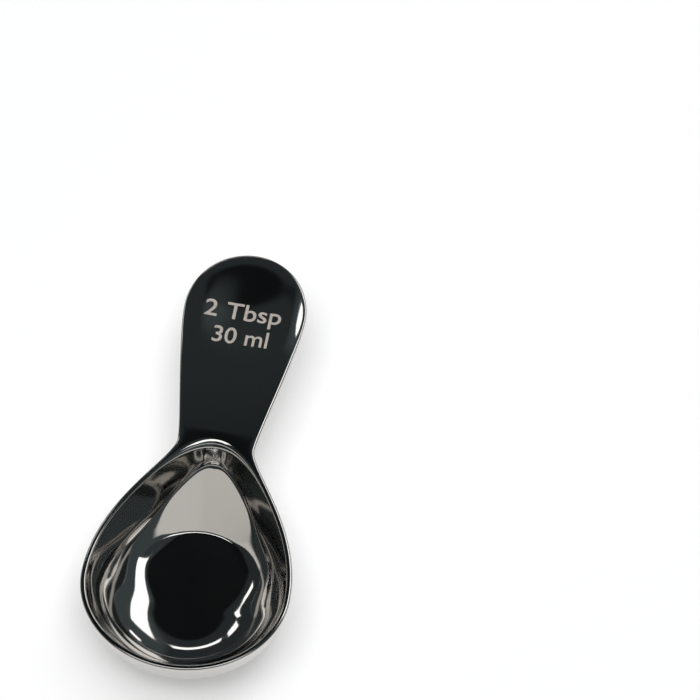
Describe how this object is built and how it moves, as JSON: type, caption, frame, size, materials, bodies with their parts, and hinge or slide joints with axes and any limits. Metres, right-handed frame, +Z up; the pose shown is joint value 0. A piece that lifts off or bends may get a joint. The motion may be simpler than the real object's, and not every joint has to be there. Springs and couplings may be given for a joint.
{
  "type": "coffee scoop",
  "caption": "Pressed stainless steel coffee scoop: a flat-floored teardrop bowl, a ramp that rises to the neck, and a broad flat handle with a shallow thumb rest.",
  "frame": {"origin": "on the flat underside of the bowl, under the middle of its floor", "axes": "+X towards the tip of the handle, +Z up out of the bowl's mouth; the scoop is symmetric about the XZ plane"},
  "size_m": [0.1185, 0.0528, 0.0187],
  "materials": {
    "steel": "polished stainless steel with fine polishing marks"
  },
  "bodies": {
    "root": {"scoop": "steel"}
  },
  "joints": []
}
